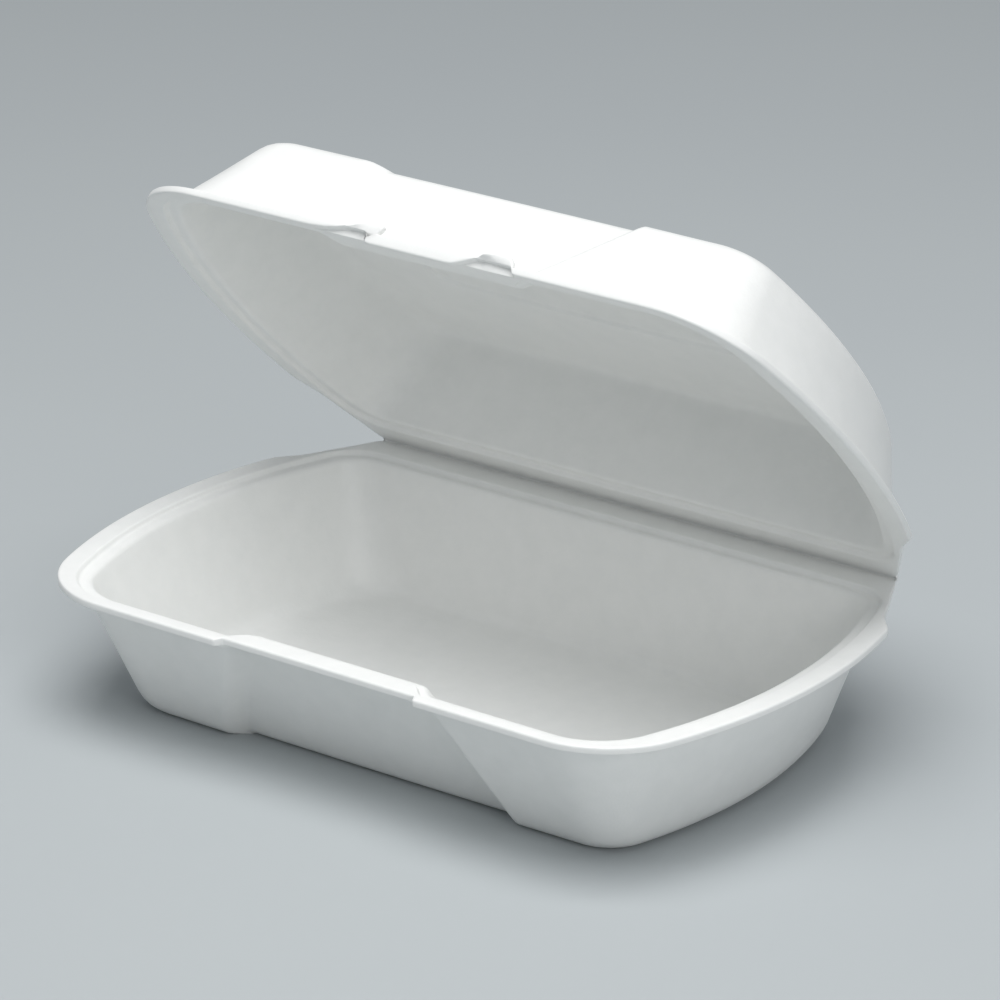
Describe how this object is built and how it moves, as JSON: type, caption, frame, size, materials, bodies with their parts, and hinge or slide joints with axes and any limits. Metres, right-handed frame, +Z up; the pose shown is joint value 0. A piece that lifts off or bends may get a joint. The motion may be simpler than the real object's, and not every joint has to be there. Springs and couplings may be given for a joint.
{
  "type": "hinged foam food box",
  "caption": "Hinged takeaway box moulded from one white foam sheet, with bowed ends, a deep tray, a shallower lid on a creased back edge and a hooked front lock.",
  "frame": {"origin": "on the tray's flat underside, below the middle of its rim", "axes": "+Z up, X along the crease, the front with the hooks at -Y"},
  "size_m": [0.233, 0.1628, 0.1569],
  "materials": {
    "foam": "satin moulded polystyrene foam"
  },
  "bodies": {
    "tray": {"tray": "foam"},
    "lid": {"lid": "foam"}
  },
  "joints": [
    {"name": "lid_hinge", "type": "hinge", "parent": "tray", "child": "lid", "pos_m": [0, 0.0755, 0.0425], "axis": [-1, 0, 0], "range_deg": [-46, 134]}
  ]
}
